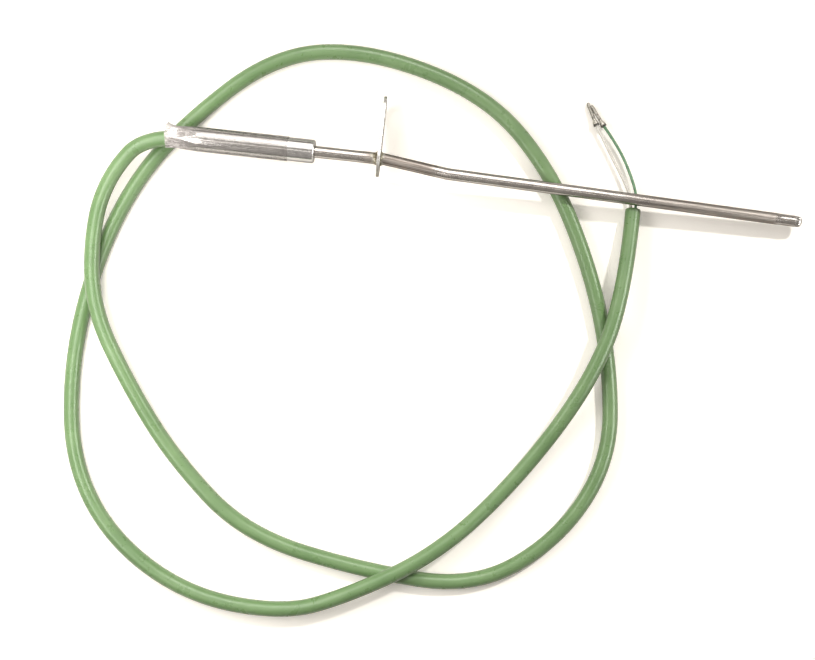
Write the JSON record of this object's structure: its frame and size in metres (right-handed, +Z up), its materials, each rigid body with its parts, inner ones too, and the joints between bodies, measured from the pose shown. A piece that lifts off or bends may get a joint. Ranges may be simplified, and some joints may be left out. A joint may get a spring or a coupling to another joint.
{
  "type": "flame sensor probe",
  "caption": "Thermocouple flame sensor: bent steel sheath with a brazed mounting tab, crimped transition ferrule under clear film, and a long two-core cable with ferruled ends.",
  "frame": {"origin": "on the surface the probe lies on, under the middle of the rigid pieces' bounding box (ferrule, tab and sheath, without the cable)", "axes": "+X runs along the transition ferrule towards the probe's tip and is square to the mounting tab, +Y is the side the tab's screw end points to, +Z is up from the surface"},
  "size_m": [0.2471, 0.1998, 0.0159],
  "materials": {
    "sheath_steel": "drawn stainless tube, smooth, lightly heat-tinted grey",
    "tip_steel": "swaged and fluted stainless, darker in the grooves",
    "tab_steel": "bright rolled stainless strip",
    "braze": "heat-tinted braze, brownish, uneven",
    "ferrule_steel": "turned stainless tube, bright",
    "clear_film": "clear shrink film, slightly wrinkled",
    "jacket_green": "smooth green PVC, semi-gloss",
    "core_green": "green core insulation, satin",
    "core_white": "white core insulation, satin",
    "tinned_copper": "tin-plated copper, bright",
    "mineral_powder": "pressed magnesium oxide powder, white, dull",
    "alloy_wire": "bright drawn nickel alloy wire",
    "seal_resin": "brown sealing resin",
    "splice_sleeve": "thin amber insulating sleeve",
    "potting_resin": "black potting resin"
  },
  "bodies": {
    "root": {"probe_sheath": "sheath_steel", "sheath_tip": "tip_steel", "mounting_flange": "tab_steel", "flange_braze": "braze", "transition_ferrule": "ferrule_steel", "shrink_film": "clear_film", "cable_jacket": "jacket_green", "positive_core": "core_green", "negative_core": "core_white", "positive_end_ferrule": "tinned_copper", "negative_end_ferrule": "tinned_copper", "mineral_insulation": "mineral_powder", "positive_thermowire": "alloy_wire", "negative_thermowire": "alloy_wire", "hot_junction": "alloy_wire", "sheath_seal": "seal_resin", "positive_splice": "tinned_copper", "negative_splice": "tinned_copper", "positive_splice_sleeve": "splice_sleeve", "negative_splice_sleeve": "splice_sleeve", "potting": "potting_resin", "positive_conductor": "alloy_wire", "negative_conductor": "alloy_wire"}
  },
  "joints": []
}
